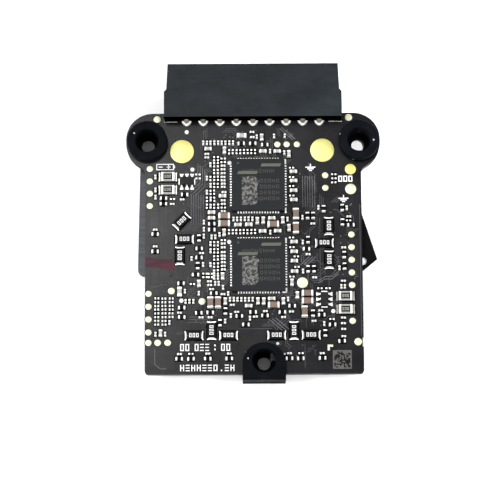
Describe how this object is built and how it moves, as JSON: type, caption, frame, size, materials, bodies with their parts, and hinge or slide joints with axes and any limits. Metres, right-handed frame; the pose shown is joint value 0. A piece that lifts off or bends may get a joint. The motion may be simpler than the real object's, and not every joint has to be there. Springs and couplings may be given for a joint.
{
  "type": "flight controller board",
  "caption": "Small drone power and motor-control board with edge battery connector, motor chips, current shunts, rubber grommet supports and an underside heat-spreader plate.",
  "frame": {"origin": "centre of the footprint, in the plane that the three grommets stand on", "axes": "+Z is the component side, +Y points out of the battery connector's mouth, +X to the right seen from the component side with the connector at the top"},
  "size_m": [0.0382, 0.0474, 0.0067],
  "materials": {
    "solder_mask": "dark satin solder mask over glass-epoxy",
    "connector_plastic": "matte glass-filled moulding, bluish black",
    "contact_metal": "gold-plated copper alloy, tinned tails",
    "rubber": "dusty matte black rubber",
    "mould_compound": "satin epoxy moulding compound",
    "resistor_black": "glazed black over ceramic",
    "resistor_white": "grey glaze over ceramic",
    "capacitor_brown": "fired ceramic, satin",
    "spreader_metal": "anodised blue-grey sheet",
    "thermal_pad": "soft matte silicone pad",
    "film": "glossy black polyester film"
  },
  "bodies": {
    "board": {"circuit_board": "solder_mask", "battery_connector_housing": "connector_plastic", "heat_spreader_plate": "spreader_metal", "thermal_pad": "thermal_pad", "insulation_film": "film", "motor_controller_upper": "mould_compound", "motor_controller_lower": "mould_compound", "current_amplifier_left": "mould_compound", "current_amplifier_right": "mould_compound", "battery_pin_1": "contact_metal", "battery_pin_2": "contact_metal", "battery_pin_3": "contact_metal", "battery_pin_4": "contact_metal", "battery_pin_5": "contact_metal", "battery_pin_6": "contact_metal", "battery_pin_7": "contact_metal", "battery_pin_8": "contact_metal", "battery_pin_9": "contact_metal", "motor_shunt_left_1": "resistor_black", "motor_shunt_left_2": "resistor_black", "motor_shunt_left_3": "resistor_black", "motor_shunt_right_1": "resistor_black", "motor_shunt_right_2": "resistor_black", "motor_shunt_right_3": "resistor_black", "motor_shunt_front_left_1": "resistor_black", "motor_shunt_front_left_2": "resistor_black", "motor_shunt_front_left_3": "resistor_black", "motor_shunt_front_right_1": "resistor_black", "motor_shunt_front_right_2": "resistor_black", "motor_shunt_front_right_3": "resistor_black", "sense_resistor_left_1": "resistor_white", "sense_resistor_left_2": "resistor_white", "sense_resistor_right_1": "resistor_white", "sense_resistor_right_2": "resistor_white", "ceramic_capacitor_1": "capacitor_brown", "ceramic_capacitor_2": "capacitor_brown", "ceramic_capacitor_3": "capacitor_brown", "ceramic_capacitor_4": "capacitor_brown", "ceramic_capacitor_5": "capacitor_brown", "ceramic_capacitor_6": "capacitor_brown", "ceramic_capacitor_7": "capacitor_brown", "ceramic_capacitor_8": "capacitor_brown", "ceramic_capacitor_9": "capacitor_brown", "ceramic_capacitor_10": "capacitor_brown", "power_transistor_1a": "mould_compound", "power_transistor_1b": "mould_compound", "power_transistor_1c": "mould_compound", "power_transistor_2a": "mould_compound", "power_transistor_2b": "mould_compound", "power_transistor_2c": "mould_compound", "power_transistor_3a": "mould_compound", "power_transistor_3b": "mould_compound", "power_transistor_3c": "mould_compound", "power_transistor_4a": "mould_compound", "power_transistor_4b": "mould_compound", "power_transistor_4c": "mould_compound"},
    "film_tab": {"film_tab": "film"},
    "rubber_grommet_left": {"rubber_grommet_left": "rubber"},
    "rubber_grommet_right": {"rubber_grommet_right": "rubber"},
    "rubber_grommet_front": {"rubber_grommet_front": "rubber"}
  },
  "joints": [
    {"name": "film_tab_fold", "type": "hinge", "parent": "board", "child": "film_tab", "pos_m": [0.015, 0, 0.00014], "axis": [0, -1, 0], "range_deg": [-15, 40], "stiffness_Nm_per_rad": 0.0005},
    {"name": "grommet_left_float", "type": "slide", "parent": "board", "child": "rubber_grommet_left", "axis": [0, 0, 1], "range_m": [-0.0002, 0.0002], "stiffness_N_per_m": 1500},
    {"name": "grommet_right_float", "type": "slide", "parent": "board", "child": "rubber_grommet_right", "axis": [0, 0, 1], "range_m": [-0.0002, 0.0002], "stiffness_N_per_m": 1500},
    {"name": "grommet_front_float", "type": "slide", "parent": "board", "child": "rubber_grommet_front", "axis": [0, 0, 1], "range_m": [-0.0002, 0.0002], "stiffness_N_per_m": 1500}
  ]
}
